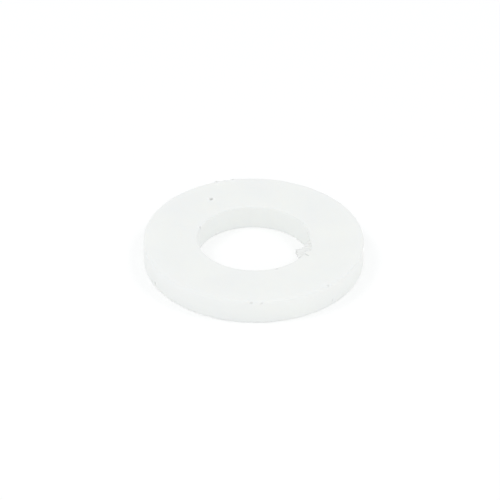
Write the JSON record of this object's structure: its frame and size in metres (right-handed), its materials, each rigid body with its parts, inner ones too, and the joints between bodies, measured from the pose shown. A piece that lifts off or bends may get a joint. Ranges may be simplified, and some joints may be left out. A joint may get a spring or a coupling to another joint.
{
  "type": "flat washer",
  "caption": "Flat round washer moulded from milky white plastic, with flat bearing faces and a straight round bore for a bolt.",
  "frame": {"origin": "centre of the bore in the plane of the lower bearing face", "axes": "+Z along the bore from the lower bearing face to the upper one; the trimmed gate's notch in the bore's upper edge is 15 degrees from +X towards -Y"},
  "size_m": [0.0126, 0.0126, 0.0014],
  "materials": {
    "natural_nylon": "satin"
  },
  "bodies": {
    "root": {"washer_ring": "natural_nylon"}
  },
  "joints": []
}
